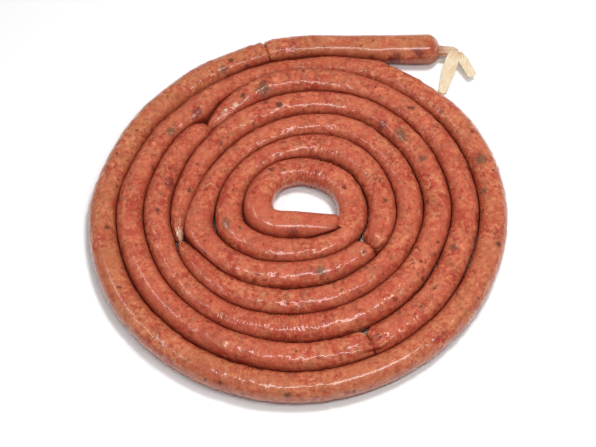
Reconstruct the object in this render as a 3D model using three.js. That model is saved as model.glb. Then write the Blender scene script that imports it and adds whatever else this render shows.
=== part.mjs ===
// A fresh sausage: one long casing of coarsely minced meat, twisted off into six links and
// wound inwards into a flat coil. It lies on the plane z = 0. Millimetres, +Z up.

import * as THREE from 'three';

// ---------------------------------------------------------------- driving dimensions

const CASING_RADIUS = 12;        // of a full link, before its neighbours press on it
const SETTLE = 0.6;              // how far a link's own weight flattens its underside
const SPREAD = 1.1;              // how far it gives sideways to lie against a neighbour
const SKIN_GAP = 0.7;            // clearance between two turns that lie side by side
const SECTION_SIDES = 10;
const TWIST_LENGTH = 1.8;        // of the casing twisted shut between two links
const TIP_RADIUS = 2.2;          // of the sausage's own two ends
const TIP_HEIGHT = 9;            // their middle above the table
const MEETING_GAP = 0.3;         // between pieces that meet end to end
const SET_BACK = TWIST_LENGTH / 2 + MEETING_GAP;     // of a link from its twist's middle
const TAIL_THICKNESS = 1.2;

// The middle of the coil, set so that the whole part is centred on the origin.
const COIL_CENTRE = new THREE.Vector3( 0, -5, 0 );

// The outer end lies straight along the far side: x, y and where it isn't 1 the fill, which
// is the radius as a share of CASING_RADIUS, from its tip to the first twist.
const OUTER_END = [
	[ 127, 165, 1.12 ], [ 115, 165, 1.12 ], [ 100, 165, 1.1 ], [ 75, 166, 1.04 ],
	[ 50, 166.5 ], [ 25, 167 ], [ 0, 166 ], [ -16, 163.5 ],
];

// The coil itself, one list for each link that winds inwards. A station is a bearing in
// degrees anticlockwise from +X, counted on from turn to turn, the distance from the coil's
// centre, and where it isn't 1 the fill. Each list starts at the twist before its link.
const COIL_LINKS = [
	[
		[ 100, 162.5 ], [ 120, 158 ], [ 135, 156 ], [ 150, 157 ], [ 180, 161.5 ], [ 210, 161.5 ],
		[ 240, 158.5 ], [ 270, 157 ], [ 300, 156 ], [ 330, 158.5 ], [ 360, 162 ],
		[ 390, 161.5 ], [ 420, 155 ], [ 435, 150.5, 0.9 ], [ 450, 146, 0.75 ],
		[ 465, 140, 0.85 ], [ 480, 133.5, 1.02 ], [ 493, 130.5, 1.1 ], [ 510, 134, 1.03 ],
		[ 540, 139.5 ],
		[ 570, 137 ], [ 600, 133.5 ], [ 630, 132 ],
	],
	[
		[ 655, 132 ], [ 672, 134 ], [ 690, 135.5 ], [ 720, 138.5 ], [ 750, 137.5 ],
		[ 780, 133.5, 1.05 ], [ 810, 129.5, 1.08 ], [ 825, 124, 1.05 ], [ 840, 116.5 ],
	],
	[
		[ 853, 111.5 ], [ 870, 114.5 ], [ 900, 117 ], [ 930, 115.5 ], [ 960, 113 ],
		[ 990, 108 ], [ 1020, 107 ], [ 1050, 110 ], [ 1080, 116 ], [ 1110, 115.5 ],
		[ 1140, 113 ], [ 1170, 104.5 ], [ 1200, 97 ], [ 1230, 93 ], [ 1260, 96.5, 0.9 ],
	],
	[
		[ 1277, 100 ], [ 1300, 96 ], [ 1320, 91.5 ], [ 1350, 86.5 ], [ 1380, 85.5 ],
		[ 1410, 89 ], [ 1440, 92.5 ], [ 1470, 91 ], [ 1500, 89.5 ], [ 1530, 80.5 ],
		[ 1560, 73 ], [ 1590, 72.5 ], [ 1620, 79.5, 1.05 ], [ 1637, 85, 1.12 ],
		[ 1655, 79, 1.08 ],
		[ 1680, 68.5 ], [ 1710, 60.5 ], [ 1740, 62 ],
	],
	[
		[ 1769, 69 ], [ 1785, 71.5 ], [ 1815, 70 ], [ 1845, 69 ], [ 1875, 63.5 ],
		[ 1905, 57 ], [ 1935, 55.5 ], [ 1965, 56.5 ], [ 1995, 58 ], [ 2020, 51.5 ],
		[ 2045, 44.5 ], [ 2070, 41 ], [ 2100, 42.5 ], [ 2130, 46 ], [ 2160, 45 ],
		[ 2190, 42.5 ], [ 2220, 39 ], [ 2250, 37.5 ], [ 2280, 36.5 ], [ 2310, 35, 1.04 ],
		[ 2340, 33, 1.1 ],
	],
];

// The inner end turns back and lies straight across the middle, as x, y and fill.
const INNER_END = [ [ -30, -9, 1.08 ], [ -20, -14.5 ], [ 0, -14.5 ], [ 18, -15 ], [ 30, -15.5 ] ];

// The casing between two links, twist by twist: the radius to which it is twisted and the
// height of its middle above the table. Some twists are full shut, others are only pinched.
const TWISTS = [
	{ radius: 8.5, height: 10.5 },
	{ radius: 7.5, height: 10 },
	{ radius: 2.2, height: 9 },
	{ radius: 2.2, height: 9 },
	{ radius: 4.5, height: 9 },
];

// How each link ends: the length over which it narrows to the twist, at its outer and its
// inner end, and the distance between its rings. A short one ends in a round shoulder.
const LINK_ENDS = [
	{ outer: 11, inner: 3, step: 15 },
	{ outer: 3, inner: 11, step: 15 },
	{ outer: 8, inner: 42, step: 14 },
	{ outer: 15, inner: 48, step: 14 },
	{ outer: 20, inner: 9, step: 12 },
	{ outer: 9, inner: 6, step: 9 },
];

// The empty casing past the outer end: its gathered neck, and the two flat tails that hang
// from the fold at the end of it. Points are x, y and z from the coil's centre.
const NECK = {
	points: [ [ 127.3, 165, 12.5 ], [ 130, 165, 12.8 ], [ 134, 165, 13.2 ] ],
	radius: 3.6,
};
const FRONT_TAIL = {
	points: [ [ 139.8, 163, 15.5 ], [ 137.5, 155, 13.5 ], [ 133, 142, 7.5 ], [ 128, 125, 1 ] ],
	width: 10.5,
};
const BACK_TAIL = {
	points: [ [ 146.5, 158.5, 11.5 ], [ 149, 153, 11 ], [ 155.5, 140.5, 6.5 ] ],
	width: 9,
};

// ---------------------------------------------------------------- materials

const materials = {
	link: new THREE.MeshStandardMaterial( { color: 0xc9674f, roughness: 0.35, metalness: 0 } ),
	twist: new THREE.MeshStandardMaterial( { color: 0xcf8f66, roughness: 0.45, metalness: 0 } ),
	tail: new THREE.MeshStandardMaterial( { color: 0xe6d3ac, roughness: 0.55, metalness: 0 } ),
};

// ---------------------------------------------------------------- the route

// All the stations in order as { x, y, fill }, and in twists the number of the station at
// each end of each link.
function gatherStations() {

	const stations = OUTER_END.map( ( [ x, y, fill = 1 ] ) => ( { x, y, fill } ) );
	const twists = [ 0 ];

	for ( const link of COIL_LINKS ) {

		twists.push( stations.length );

		for ( const [ bearing, radius, fill = 1 ] of link ) {

			const angle = THREE.MathUtils.degToRad( bearing );
			stations.push( { x: radius * Math.cos( angle ), y: radius * Math.sin( angle ), fill } );

		}

	}

	for ( const [ x, y, fill = 1 ] of INNER_END ) stations.push( { x, y, fill } );
	twists.push( stations.length - 1 );
	return { stations, twists };

}

// The casing's middle line, as close samples { place, side, along, fill }: side points to
// the right of the way inwards, and along is the length of casing up to there.
const SAMPLES_PER_STATION = 12;

function layRoute( stations ) {

	const points = stations.map( ( { x, y } ) => new THREE.Vector3( x, y, 0 ).add( COIL_CENTRE ) );
	const curve = new THREE.CatmullRomCurve3( points );
	const count = ( stations.length - 1 ) * SAMPLES_PER_STATION;

	return curve.getLengths( count ).map( ( along, k ) => {

		const tangent = curve.getTangent( k / count );
		const before = Math.min( Math.floor( k / SAMPLES_PER_STATION ), stations.length - 2 );
		const share = k / SAMPLES_PER_STATION - before;
		return {
			place: curve.getPoint( k / count ),
			side: new THREE.Vector3( tangent.y, - tangent.x, 0 ),
			along,
			fill: THREE.MathUtils.lerp( stations[ before ].fill, stations[ before + 1 ].fill, share ),
		};

	} );

}

// The links between the twists: where each starts and ends along the route, and at both ends
// the length over which it narrows, its last radius and the height of its middle there.
function spanLinks( twistAlong ) {

	const tip = { radius: TIP_RADIUS, height: TIP_HEIGHT };
	const pinches = [ tip, ...TWISTS, tip ];
	return LINK_ENDS.map( ( { outer, inner, step }, k ) => ( {
		start: twistAlong[ k ] + ( k > 0 ? SET_BACK : 0 ),
		end: twistAlong[ k + 1 ] - ( k < TWISTS.length ? SET_BACK : 0 ),
		outer: { length: outer, ...pinches[ k ] },
		inner: { length: inner, ...pinches[ k + 1 ] },
		step,
	} ) );

}

// How far a link has filled out at a distance from its end, from 0 at the end to 1: a round
// shoulder, or a long taper.
function filledOut( distance, length ) {

	const share = Math.sin( THREE.MathUtils.clamp( distance / length, 0, 1 ) * Math.PI / 2 );
	return share ** ( length > 2 * CASING_RADIUS ? 0.8 : 0.55 );

}

// A link's radius at a length along the route, as a share of its full one, and the height of
// its middle there.
function girth( link, along, fill ) {

	const outer = filledOut( along - link.start, link.outer.length );
	const inner = filledOut( link.end - along, link.inner.length );
	const [ share, pinch ] = outer < inner ? [ outer, link.outer ] : [ inner, link.inner ];
	return {
		full: THREE.MathUtils.lerp( pinch.radius / CASING_RADIUS, 1, share ),
		height: THREE.MathUtils.lerp( pinch.height, CASING_RADIUS * fill - SETTLE, share ),
	};

}

// Gives each sample its half-widths, left and right, as shares of its radius. Where another
// turn runs beside it, the two share the room between their middle lines.
const SIDEWAYS = 0.85;           // the least cosine at which another turn counts as beside
const ALONGSIDE = 0.5;           // and the least cosine between their two directions

function pressTogether( route, links ) {

	for ( const here of route ) {

		const link = links.find( ( { end } ) => here.along <= end + SET_BACK ) ?? links.at( - 1 );
		here.radius = CASING_RADIUS * here.fill * girth( link, here.along, here.fill ).full;

	}

	for ( const here of route ) {

		const room = { left: Infinity, right: Infinity };

		for ( const other of route ) {

			if ( Math.abs( other.along - here.along ) < 5 * CASING_RADIUS ) continue;
			if ( Math.abs( other.side.dot( here.side ) ) < ALONGSIDE ) continue;
			const between = other.place.clone().sub( here.place );
			const distance = between.length();
			const across = between.dot( here.side ) / distance;
			if ( distance > 3 * CASING_RADIUS || Math.abs( across ) < SIDEWAYS ) continue;
			const share = ( distance - SKIN_GAP ) * here.radius / ( here.radius + other.radius );
			const hand = across > 0 ? 'right' : 'left';
			room[ hand ] = Math.min( room[ hand ], share / here.radius );

		}

		here.left = room.left < SPREAD ? room.left : 1;
		here.right = room.right < SPREAD ? room.right : 1;

	}

}

// The route at any length along it, between the samples.
function routeAt( route, length ) {

	const along = Math.min( length, route.at( - 1 ).along );
	const next = Math.max( 1, route.findIndex( ( sample ) => sample.along >= along ) );
	const [ a, b ] = [ route[ next - 1 ], route[ next ] ];
	const share = ( along - a.along ) / ( b.along - a.along );
	return {
		place: a.place.clone().lerp( b.place, share ),
		side: a.side.clone().lerp( b.side, share ).normalize(),
		fill: THREE.MathUtils.lerp( a.fill, b.fill, share ),
		left: THREE.MathUtils.lerp( a.left, b.left, share ),
		right: THREE.MathUtils.lerp( a.right, b.right, share ),
	};

}

// ---------------------------------------------------------------- shaping

// Moves every vertex of a geometry to where place( x, y, z ) says.
function relocate( geometry, place ) {

	const position = geometry.getAttribute( 'position' );

	for ( let i = 0; i < position.count; i ++ ) {

		const moved = place( position.getX( i ), position.getY( i ), position.getZ( i ) );
		position.setXYZ( i, moved.x, moved.y, moved.z );

	}

	geometry.computeVertexNormals();
	return geometry;

}

// A straight round body of unit radius along +Y, closed at both ends, with a ring at each
// of the given { along, radius }. Its flat sides face straight up and down.
function straightBody( rings, sides ) {

	const profile = rings.map( ( { along, radius } ) => new THREE.Vector2( radius, along ) );
	profile.unshift( new THREE.Vector2( 0, rings[ 0 ].along ) );
	profile.push( new THREE.Vector2( 0, rings[ rings.length - 1 ].along ) );
	return new THREE.LatheGeometry( profile, sides, Math.PI / sides );

}

// Where the rings of a link stand: close together on the shoulders, evenly between them.
function ringsOfLink( { start, end, outer, inner, step } ) {

	const shares = [ 0, 0.1, 0.35, 0.7 ];
	const middle = end - start - outer.length - inner.length;
	const count = Math.ceil( middle / step );
	const places = [
		...shares.map( ( share ) => start + share * outer.length ),
		...Array.from( { length: count + 1 }, ( _, k ) => start + outer.length + middle * k / count ),
		...shares.toReversed().map( ( share ) => end - share * inner.length ),
	];
	return places.map( ( along ) => ( { along, radius: 1 } ) );

}

// One link: a straight body laid along the route, pressed to its neighbours' room and
// settled flat on the table. FLATS brings its flat top and underside out to the radius.
const FLATS = 1 / Math.cos( Math.PI / SECTION_SIDES );

function makeLink( route, link ) {

	const body = straightBody( ringsOfLink( link ), SECTION_SIDES );

	return relocate( body, ( across, along, up ) => {

		const { place, side, fill, left, right } = routeAt( route, along );
		const { full, height } = girth( link, along, fill );
		const radius = CASING_RADIUS * fill * full;
		return place
			.addScaledVector( side, across * radius * ( across > 0 ? right : left ) )
			.setZ( Math.max( 0, height + up * radius * FLATS ) );

	} );

}

// The casing twisted shut between two links.
const TWIST_SIDES = 8;

function makeTwist( route, middle, { radius, height } ) {

	const reach = TWIST_LENGTH / 2;
	const ends = [ middle - reach, middle + reach ];
	const body = straightBody( ends.map( ( along ) => ( { along, radius: 1 } ) ), TWIST_SIDES );

	return relocate( body, ( across, along, up ) => {

		const { place, side } = routeAt( route, along );
		return place
			.addScaledVector( side, across * radius )
			.setZ( height + up * radius );

	} );

}

// A line through points given from the coil's centre.
function freeLine( points ) {

	return new THREE.CatmullRomCurve3( points.map( ( p ) => new THREE.Vector3( ...p ).add( COIL_CENTRE ) ) );

}

// The sideways and upward directions across a free line, square to it.
const UP = new THREE.Vector3( 0, 0, 1 );

function acrossLine( line, share ) {

	const tangent = line.getTangentAt( share );
	const side = tangent.clone().cross( UP ).normalize();
	return { side, up: side.clone().cross( tangent ) };

}

// The gathered neck of empty casing past the outer link.
function makeNeck( { points, radius } ) {

	const line = freeLine( points );
	const shares = [ 0, 0.3, 0.65, 1 ];
	const body = straightBody( shares.map( ( along ) => ( { along, radius: 1 - 0.2 * Math.sin( along * Math.PI ) } ) ),
		TWIST_SIDES );

	return relocate( body, ( across, share, up ) => {

		const frame = acrossLine( line, share );
		return line.getPointAt( share )
			.addScaledVector( frame.side, across * radius )
			.addScaledVector( frame.up, up * radius );

	} );

}

// A flat tail of casing: a thin strip laid along its line.
const TAIL_STEPS = 6;

function makeTail( { points, width } ) {

	const line = freeLine( points );
	const strip = new THREE.BoxGeometry( width, TAIL_THICKNESS, 1, 1, 1, TAIL_STEPS );

	return relocate( strip, ( across, up, along ) => {

		const share = 0.5 - along;
		const frame = acrossLine( line, share );
		return line.getPointAt( share )
			.addScaledVector( frame.side, across )
			.addScaledVector( frame.up, up );

	} );

}

// ---------------------------------------------------------------- the part

const sausage = new THREE.Group();

function addPiece( name, geometry, material ) {

	const piece = new THREE.Mesh( geometry, material );
	piece.name = name;
	sausage.add( piece );

}

const { stations, twists } = gatherStations();
const route = layRoute( stations );
const twistAlong = twists.map( ( station ) => route[ station * SAMPLES_PER_STATION ].along );
const links = spanLinks( twistAlong );
pressTogether( route, links );

links.forEach( ( link, k ) => addPiece( `link_${ k + 1 }`, makeLink( route, link ), materials.link ) );

TWISTS.forEach( ( twist, k ) => {

	addPiece( `twist_${ k + 1 }`, makeTwist( route, twistAlong[ k + 1 ], twist ), materials.twist );

} );

addPiece( 'casing_neck', makeNeck( NECK ), materials.twist );
addPiece( 'casing_tail_front', makeTail( FRONT_TAIL ), materials.tail );
addPiece( 'casing_tail_back', makeTail( BACK_TAIL ), materials.tail );

export default sausage;
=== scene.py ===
"""A fresh sausage: one long casing of coarse mince, twisted off into six links and wound into
a flat coil, with its gathered neck and two flat tails of casing at the outer end.

The script works in millimetres and degrees, and writes its meshes in metres.
"""

import math

import bmesh
import bpy
import numpy as np
from bpy.props import FloatProperty, FloatVectorProperty, PointerProperty
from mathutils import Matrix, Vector, noise


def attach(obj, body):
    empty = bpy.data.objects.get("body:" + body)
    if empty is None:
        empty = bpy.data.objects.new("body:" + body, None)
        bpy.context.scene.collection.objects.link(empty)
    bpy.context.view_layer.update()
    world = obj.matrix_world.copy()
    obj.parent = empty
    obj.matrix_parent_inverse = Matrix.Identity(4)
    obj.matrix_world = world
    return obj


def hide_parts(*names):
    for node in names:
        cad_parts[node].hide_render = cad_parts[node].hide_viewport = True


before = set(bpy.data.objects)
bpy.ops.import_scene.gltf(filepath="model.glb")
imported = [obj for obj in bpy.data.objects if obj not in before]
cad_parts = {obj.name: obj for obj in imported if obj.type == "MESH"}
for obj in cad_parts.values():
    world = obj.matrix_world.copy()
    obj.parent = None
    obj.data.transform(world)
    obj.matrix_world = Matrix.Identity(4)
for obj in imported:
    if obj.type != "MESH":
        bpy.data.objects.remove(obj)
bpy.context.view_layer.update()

bl_info = {
    "name": "Fresh sausage coil",
    "version": (1, 0, 0),
    "blender": (4, 5, 0),
    "location": "View3D > Sidebar > Sausage",
    "description": "Fills, twists and coils a long fresh sausage",
    "category": "Object",
}

MM = 0.001
BODY = "root"

# ------------------------------------------------------------------ the casing's route
# Nearly the CAD model's stations, in millimetres from the middle of the coil: a few of them,
# beside the second twist, at link_5's last bend and at the inner end, lie up to 5 mm away or
# are filled a little more.

COIL_CENTRE = np.array((0.0, -5.0))

# The outer end lies straight along the far side: x, y and where it isn't 1 the fill, which is
# the radius as a share of the casing's, from its tip to the first twist.
OUTER_END = (
    (127, 165, 1.12), (115, 165, 1.12), (100, 165, 1.1), (75, 166, 1.04), (50, 166.5),
    (25, 167), (0, 166), (-16, 163.5),
)

# The coil, one list for each link that winds inwards: the bearing in degrees anticlockwise
# from +X, counted on from turn to turn, the distance from the centre, and where it isn't 1
# the fill. Each list starts at the twist before its link.
COIL_LINKS = (
    (
        (100, 162.5), (120, 158), (135, 156), (150, 157), (180, 161.5), (210, 161.5),
        (240, 158.5), (270, 157), (300, 156), (330, 158.5), (360, 162), (390, 161.5),
        (420, 155), (435, 150.5, 0.9), (450, 146, 0.75), (465, 140, 0.85), (480, 133.5, 1.02),
        (493, 130.5, 1.1), (510, 134, 1.03), (540, 139.5), (570, 137), (600, 133.5),
        (630, 133),
    ),
    (
        (655, 134.5), (672, 135), (690, 135.5), (720, 138.5), (750, 137.5), (780, 133.5, 1.05),
        (810, 129.5, 1.08), (825, 124, 1.05), (840, 116.5),
    ),
    (
        (853, 111.5), (870, 114.5), (900, 117), (930, 115.5), (960, 113), (990, 108),
        (1020, 107), (1050, 110), (1080, 116), (1110, 115.5), (1140, 113), (1170, 104.5),
        (1200, 97), (1230, 93), (1260, 96.5, 0.9),
    ),
    (
        (1277, 100), (1300, 96), (1320, 91.5), (1350, 86.5), (1380, 85.5), (1410, 89),
        (1440, 92.5), (1470, 91), (1500, 89.5), (1530, 80.5), (1560, 73), (1590, 72.5),
        (1620, 80, 1.06), (1637, 86.5, 1.14), (1655, 79.5, 1.1), (1680, 68.5), (1710, 60.5),
        (1740, 62),
    ),
    (
        (1769, 69), (1785, 71.5), (1815, 70), (1845, 69), (1875, 63.5), (1905, 57),
        (1935, 55.5), (1965, 56.5), (1995, 58), (2020, 51.5), (2045, 44.5), (2070, 41),
        (2100, 42.5), (2130, 46), (2160, 45), (2190, 42.5), (2220, 39), (2250, 37.5),
        (2280, 36.5), (2310, 35, 1.04), (2340, 33, 1.1),
    ),
)

# The inner end turns back and lies straight across the middle, as x, y and fill.
INNER_END = (
    (-30, -8, 1.08), (-20, -13), (0, -14.5), (18, -16.5), (34, -18),
)

# The length over which each link narrows at its outer and its inner end.
SHOULDERS = ((11, 3), (3, 11), (9, 42), (15, 44), (32, 9), (9, 3.5))

# Where the casing is pinched, from the outer tip inwards: its radius and the height of its
# middle, then the depth of the pleats that run into it and how far they reach.
PINCHES = (
    (2.2, 9.0, 0.35, 6.0), (9.8, 11.0, 0.3, 3.5), (8.3, 9.5, 1.2, 9.0), (4.2, 8.0, 0.5, 12.0),
    (2.6, 8.5, 0.6, 14.0), (4.8, 8.5, 0.7, 7.0), (2.2, 9.0, 0.2, 4.0),
)

# ------------------------------------------------------------------ where the filling differs
# Places along the casing are in millimetres from its outer tip, and angles round it in
# degrees from its top, outwards from the coil's middle.

TAUT_STRETCHES = (               # filled tight and smooth, so that they shine in one line
    (0, 110), (420, 480), (660, 710), (1390, 1450), (3400, 3450), (4060, 4200),
)

RIBBED_STRETCHES = ((560, 600), (2270, 2380), (3990, 4040))      # gathered in fine cross folds

# Folds across the casing: where, the angle of its middle, how far round it reaches each way,
# how deep, and how far it leans along the casing.
CREASES = (
    (390, 10, 50, 0.5, 0.2), (410, -20, 60, 0.6, -0.1), (1580, 0, 70, 0.5, 0.3),
    (1590, 30, 40, 0.6, -0.2), (1600, -20, 50, 0.5, 0.3), (1620, -10, 60, 0.5, 0.4),
    (2050, -10, 50, 0.4, 0.5), (3540, 0, 70, 0.6, 0.1), (3890, 10, 70, 0.6, 0.1),
    (3910, -10, 50, 0.4, -0.2), (3960, -20, 60, 0.6, 0.1), (4000, -10, 70, 0.4, 0.1),
    (4010, -10, 60, 0.5, 0.0), (4030, -20, 70, 0.4, -0.1),
)

# Single marks under the casing, by kind: where, the angle and the size; most are stains, and two
# pale ones are painted highlights.
STAINS = {
    "pepper": (
        (190, -10, 2.5), (400, -20, 2), (570, 50, 2), (620, 50, 2.5), (840, 30, 2),
        (1110, -40, 2.5), (1870, 0, 2.5), (2030, -10, 2.5), (2170, -10, 2.5), (2710, -10, 3),
        (2720, 20, 2), (2830, -20, 2), (3620, 10, 2), (3980, -10, 2), (4010, -20, 2),
        (4050, 20, 2.5),
    ),
    "bruise": (
        (20, -50, 4.5), (40, -80, 5), (60, -80, 4), (590, -60, 4), (1230, -30, 4.5),
        (2140, -40, 5), (2610, -40, 4), (4120, 60, 5),
    ),
    "herb": (
        (200, -40, 3.5), (890, -40, 3.5), (920, -10, 4.5), (1260, -20, 3.5), (1720, -20, 3),
        (2010, -30, 6), (2560, -10, 3), (2590, -20, 5), (3530, 20, 3.5), (3830, 20, 3.5),
    ),
    "ochre": ((0, 0, 9), (1560, 50, 4), (1600, 40, 4)),
    "red": (
        (10, -30, 5), (410, 10, 6), (1000, 0, 5), (1340, -20, 6), (1750, -20, 5),
        (2900, 10, 8),
    ),
    # the pale marks at 2040 and 2050 are painted highlight streaks on the narrowing ends beside the
    # third twist; those at 2870 are whitish casing
    "pale": ((2040, -20, 2), (2050, -10, 2), (2870, 0, 5), (2870, -90, 4)),
}

# ------------------------------------------------------------------ the casing's loose ends
# Points from the neck outwards: x and y from the coil's middle, and the height.

NECK_POINTS = (
    (122.5, 164.5, 11), (126.5, 164.3, 11), (131, 164, 11.2), (136, 163.3, 12),
    (141, 162, 12.8),
)
FRONT_TAIL_POINTS = (
    (139.6, 165.5, 13.4), (139.2, 161.5, 15.2), (137.3, 153, 12.6), (133, 141, 7), (128, 125, 1.2),
)
BACK_TAIL_POINTS = (
    (143.6, 162, 12), (145.5, 157.5, 12), (149.5, 150.5, 10), (155.5, 140, 5.5),
)

# ------------------------------------------------------------------ the maker's settings


class SausageShape(bpy.types.PropertyGroup):
    """How the sausage is filled."""

    casing_radius: FloatProperty(
        name="Casing Radius", description="Radius of a full link, in millimetres", default=12.0)
    settle: FloatProperty(
        name="Settle", description="How far its weight flattens the underside, in millimetres",
        default=0.6)
    spread: FloatProperty(
        name="Spread", description="How far it gives sideways to lie against a neighbour",
        default=1.12)
    skin_gap: FloatProperty(
        name="Skin Gap", description="Room left between two turns, in millimetres", default=0.12)
    bulge: FloatProperty(
        name="Bulge", description="Slow change of the radius along a link", default=0.035)
    lump: FloatProperty(
        name="Lump", description="Height of the pieces of meat under the casing, in millimetres",
        default=0.55)
    grain: FloatProperty(
        name="Grain", description="Height of the mince's fine grain, in millimetres",
        default=0.1)
    mesh_step: FloatProperty(
        name="Mesh Step", description="Length of a face on the skin, in millimetres",
        default=0.85)


class SausageFinish(bpy.types.PropertyGroup):
    """The colours of the meat and the casing, the colour of the painted shade, and how wet they
    are.
    """

    meat: FloatVectorProperty(
        name="Meat", description="The mince as a whole", subtype="COLOR", size=4,
        default=(0.54, 0.115, 0.06, 1.0))
    tan_meat: FloatVectorProperty(
        name="Tan Meat", description="Drier, tanner stretches", subtype="COLOR", size=4,
        default=(0.48, 0.155, 0.065, 1.0))
    lean: FloatVectorProperty(
        name="Lean", description="Pieces of red meat", subtype="COLOR", size=4,
        default=(0.38, 0.036, 0.02, 1.0))
    fat: FloatVectorProperty(
        name="Fat", description="Pieces of fat seen through the casing", subtype="COLOR",
        size=4, default=(0.75, 0.27, 0.13, 1.0))
    brown: FloatVectorProperty(
        name="Brown", description="Greyer, browner stretches", subtype="COLOR", size=4,
        default=(0.3, 0.12, 0.055, 1.0))
    pepper: FloatVectorProperty(
        name="Pepper", description="Specks of pepper and spice", subtype="COLOR", size=4,
        default=(0.1, 0.03, 0.014, 1.0))
    bruise: FloatVectorProperty(
        name="Bruise", description="Dark purple patches", subtype="COLOR", size=4,
        default=(0.14, 0.02, 0.02, 1.0))
    herb: FloatVectorProperty(
        name="Herb", description="Greenish grey smears", subtype="COLOR", size=4,
        default=(0.1, 0.07, 0.035, 1.0))
    # Deep is the colour of painted shade: grooves between turns, undersides, narrowing ends and the
    # hollows of the twists' folds are darkened towards it.
    deep: FloatVectorProperty(
        name="Deep", description="The skin down in the grooves", subtype="COLOR", size=4,
        default=(0.19, 0.02, 0.01, 1.0))
    casing: FloatVectorProperty(
        name="Casing", description="Empty casing gathered in a twist", subtype="COLOR", size=4,
        default=(0.42, 0.15, 0.065, 1.0))
    dry_casing: FloatVectorProperty(
        name="Dry Casing", description="The flat tails", subtype="COLOR", size=4,
        default=(0.76, 0.62, 0.42, 1.0))
    skin_roughness: FloatProperty(
        name="Skin Roughness", description="Roughness of the moist skin", default=0.42)
    wet_roughness: FloatProperty(
        name="Wet Roughness", description="Roughness of the wet film on it", default=0.17)


class SausageStage(bpy.types.PropertyGroup):
    """The plain surface, the lights and the camera."""

    elevation: FloatProperty(
        name="Elevation", description="The camera's angle above the surface, in degrees",
        default=60.8)
    distance: FloatProperty(
        name="Distance", description="From the camera to the coil, in millimetres",
        default=1030.0)
    lens: FloatProperty(
        name="Lens", description="Focal length, in millimetres", default=74.11)
    shift: FloatProperty(
        name="Shift", description="The camera's upward shift", default=-0.0109)
    surroundings: FloatProperty(
        name="Surroundings", description="Brightness of the white surroundings", default=0.22)


# ------------------------------------------------------------------ lines and routes


def smooth_line(points, per_span):
    """Places on a centripetal Catmull-Rom line through the points."""
    points = np.asarray(points, float)
    held = np.vstack((2 * points[0] - points[1], points, 2 * points[-1] - points[-2]))
    spans = np.maximum(np.sum(np.diff(held, axis=0) ** 2, axis=1) ** 0.25, 1e-4)
    t = np.linspace(0, 1, per_span, endpoint=False)[:, None]
    line = []
    for k in range(len(points) - 1):
        p0, p1, p2, p3 = held[k:k + 4]
        d0, d1, d2 = spans[k:k + 3]
        leave = ((p1 - p0) / d0 - (p2 - p0) / (d0 + d1) + (p2 - p1) / d1) * d1
        arrive = ((p2 - p1) / d1 - (p3 - p1) / (d1 + d2) + (p3 - p2) / d2) * d1
        square = 3 * (p2 - p1) - 2 * leave - arrive
        cube = 2 * (p1 - p2) + leave + arrive
        line.append(p1 + leave * t + square * t**2 + cube * t**3)
    return np.vstack(line + [points[-1:]])


def lengths_along(line):
    """The length of the line up to each of its places."""
    return np.concatenate(([0.0], np.cumsum(np.linalg.norm(np.diff(line, axis=0), axis=1))))


def eased(share):
    """A share from 0 to 1, with soft ends."""
    share = np.clip(share, 0.0, 1.0)
    return share * share * (3 - 2 * share)


def averaged(values, reach):
    """The running mean over reach values each way."""
    padded = np.pad(values, reach, mode="edge")
    return np.convolve(padded, np.full(2 * reach + 1, 1 / (2 * reach + 1)), mode="valid")


ROUND_SHOULDER = 0.55            # the power to which a link's end rises: the lower, the rounder
LONG_SHOULDER = 0.65


def filled_out(distance, length, radius):
    """How far a link has filled out at a distance from its end: 0 at the end, then 1."""
    share = np.sin(np.clip(distance / length, 0, 1) * math.pi / 2)
    return share ** (LONG_SHOULDER if length > 2 * radius else ROUND_SHOULDER)


class Link:
    """Where a link starts and ends along the route, and how it narrows there."""

    SET_BACK = 0.35              # of a link from the middle of its twist

    def __init__(self, number, twists, radius):
        last = len(SHOULDERS)
        self.name = f"link_{number}"
        self.radius = radius
        self.start = twists[number - 1] + (self.SET_BACK if number > 1 else 0.0)
        self.end = twists[number] - (self.SET_BACK if number < last else 0.0)
        self.lengths = SHOULDERS[number - 1]
        self.pinches = PINCHES[number - 1], PINCHES[number]

    def girth(self, along):
        """The radius as a share of the full one, and how far the link has filled out."""
        outer = filled_out(along - self.start, self.lengths[0], self.radius)
        inner = filled_out(self.end - along, self.lengths[1], self.radius)
        risen = np.minimum(outer, inner)
        low = np.where(outer < inner, self.pinches[0][0], self.pinches[1][0]) / self.radius
        return low + (1 - low) * risen, risen

    def pinch_height(self, along):
        """The height of the middle of the nearer pinch."""
        nearer_start = along - self.start < self.end - along
        return np.where(nearer_start, self.pinches[0][1], self.pinches[1][1])


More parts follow.
